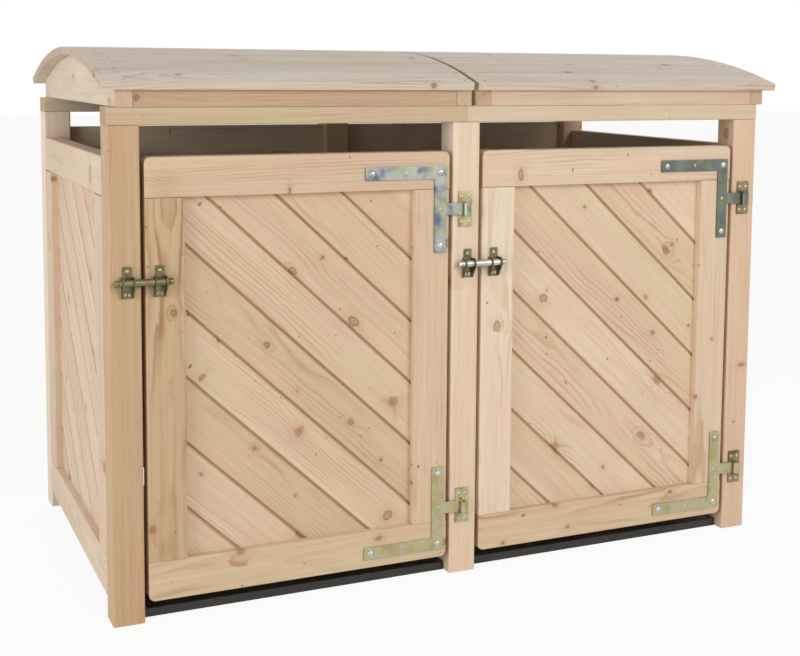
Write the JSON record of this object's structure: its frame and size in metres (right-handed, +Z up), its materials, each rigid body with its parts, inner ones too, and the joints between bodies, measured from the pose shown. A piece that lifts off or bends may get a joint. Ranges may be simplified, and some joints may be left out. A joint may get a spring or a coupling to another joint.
{
  "type": "wheelie bin store",
  "caption": "Timber wheelie bin store with framed diagonal boarding, doors on strap hinges with sliding bolts, and curved slatted lids that lift at the front.",
  "frame": {"origin": "on the ground under the middle of the store's overall box", "axes": "+X to the right along the front, +Y from the doors towards the back, +Z up"},
  "size_m": [1.75, 1.0086, 1.268],
  "materials": {
    "post_larch": "planed larch, unfinished",
    "header_larch": "planed larch, unfinished",
    "frame_larch": "planed larch, unfinished",
    "board_larch": "planed larch, unfinished",
    "gable_larch": "planed larch, unfinished",
    "slat_larch": "planed larch, unfinished",
    "floor_board": "dark film-faced board, low gloss",
    "strap_steel": "zinc plated and passivated, mottled",
    "pintle_steel": "zinc plated and passivated, mottled",
    "rod_steel": "zinc plated, bright to olive",
    "bracket_steel": "zinc plated and passivated, olive",
    "hinge_steel": "zinc plated"
  },
  "bodies": {
    "frame": {"front_left_post": "post_larch", "front_centre_post": "post_larch", "front_right_post": "post_larch", "front_left_header": "header_larch", "front_right_header": "header_larch", "rear_left_post": "post_larch", "rear_centre_post": "post_larch", "rear_right_post": "post_larch", "rear_left_header": "header_larch", "rear_right_header": "header_larch", "left_side_rails": "frame_larch", "left_side_stiles": "frame_larch", "left_side_boards": "board_larch", "right_side_rails": "frame_larch", "right_side_stiles": "frame_larch", "right_side_boards": "board_larch", "left_back_rails": "frame_larch", "left_back_stiles": "frame_larch", "left_back_boards": "board_larch", "right_back_rails": "frame_larch", "right_back_stiles": "frame_larch", "right_back_boards": "board_larch", "left_floor_board": "floor_board", "right_floor_board": "floor_board", "left_door_pintles": "pintle_steel", "right_door_pintles": "pintle_steel", "left_bolt_keep": "bracket_steel", "right_bolt_keep": "bracket_steel", "rear_hinge_leaves": "hinge_steel"},
    "left_door": {"left_door_top_rail": "frame_larch", "left_door_bottom_rail": "frame_larch", "left_door_hinge_stile": "frame_larch", "left_door_latch_stile": "frame_larch", "left_door_boards": "board_larch", "left_door_straps": "strap_steel", "left_bolt_guide": "bracket_steel"},
    "left_rod": {"left_bolt_rod": "rod_steel"},
    "left_lid": {"left_lid_left_gable": "gable_larch", "left_lid_right_gable": "gable_larch", "left_lid_front_rail": "gable_larch", "left_lid_rear_rail": "gable_larch", "left_lid_slats": "slat_larch", "left_lid_hinge_leaves": "hinge_steel"},
    "right_door": {"right_door_top_rail": "frame_larch", "right_door_bottom_rail": "frame_larch", "right_door_hinge_stile": "frame_larch", "right_door_latch_stile": "frame_larch", "right_door_boards": "board_larch", "right_door_straps": "strap_steel", "right_bolt_guide": "bracket_steel"},
    "right_rod": {"right_bolt_rod": "rod_steel"},
    "right_lid": {"right_lid_left_gable": "gable_larch", "right_lid_right_gable": "gable_larch", "right_lid_front_rail": "gable_larch", "right_lid_rear_rail": "gable_larch", "right_lid_slats": "slat_larch", "right_lid_hinge_leaves": "hinge_steel"}
  },
  "joints": [
    {"name": "left_door_hinge", "type": "hinge", "parent": "frame", "child": "left_door", "pos_m": [-0.021, -0.49173, 0.5], "axis": [0, 0, 1], "range_deg": [0, 100]},
    {"name": "left_bolt_slide", "type": "slide", "parent": "left_door", "child": "left_rod", "axis": [1, 0, 0], "range_m": [0, 0.072]},
    {"name": "right_door_hinge", "type": "hinge", "parent": "frame", "child": "right_door", "pos_m": [0.789, -0.49173, 0.5], "axis": [0, 0, 1], "range_deg": [0, 100]},
    {"name": "right_bolt_slide", "type": "slide", "parent": "right_door", "child": "right_rod", "axis": [1, 0, 0], "range_m": [0, 0.072]},
    {"name": "left_lid_hinge", "type": "hinge", "parent": "frame", "child": "left_lid", "pos_m": [-0.443, 0.46665, 1.136], "axis": [-1, 0, 0], "range_deg": [0, 95]},
    {"name": "right_lid_hinge", "type": "hinge", "parent": "frame", "child": "right_lid", "pos_m": [0.402, 0.46665, 1.136], "axis": [-1, 0, 0], "range_deg": [0, 95]}
  ]
}
